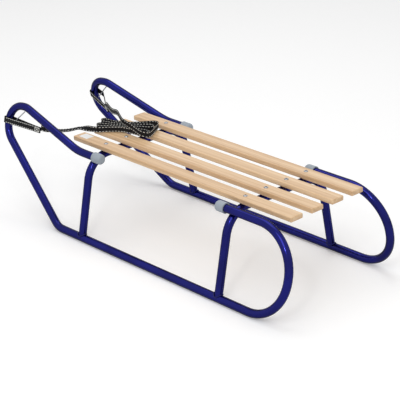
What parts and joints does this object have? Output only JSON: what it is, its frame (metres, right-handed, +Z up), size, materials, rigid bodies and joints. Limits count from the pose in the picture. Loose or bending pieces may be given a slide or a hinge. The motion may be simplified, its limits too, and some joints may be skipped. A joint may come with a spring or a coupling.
{
  "type": "metal sled",
  "caption": "Child's snow sled of bent round steel tube with wooden slats, plastic end caps and a folded webbing pull strap.",
  "frame": {"origin": "on the ground under the middle of the sled's length and width", "axes": "+X forward, +Y to the sled's left, +Z up"},
  "size_m": [1.0392, 0.406, 0.2815],
  "materials": {
    "tube_paint": "gloss candy blue powder coat",
    "slat_wood": "clear varnished beech, satin",
    "cap_plastic": "matt grey moulded plastic",
    "stay_steel": "dark painted wire",
    "webbing": "black woven webbing with pale stitching",
    "stitching": "pale thread",
    "zinc": "zinc plated",
    "blank_label": "plain pale film"
  },
  "bodies": {
    "root": {"front_arch": "tube_paint", "front_cap_left": "cap_plastic", "front_cap_right": "cap_plastic", "pull_strap_bundle": "webbing", "pull_strap_lead_left": "webbing", "pull_strap_lead_right": "webbing", "pull_strap_loop_left": "webbing", "pull_strap_loop_right": "webbing", "rear_arch": "tube_paint", "rear_cap_left": "cap_plastic", "rear_cap_right": "cap_plastic", "seat_slat_1": "slat_wood", "seat_slat_2": "slat_wood", "seat_slat_3": "slat_wood", "seat_slat_4": "slat_wood", "side_frame_left": "tube_paint", "side_frame_right": "tube_paint", "strap_stay_left": "stay_steel", "strap_stay_right": "stay_steel"}
  },
  "joints": []
}
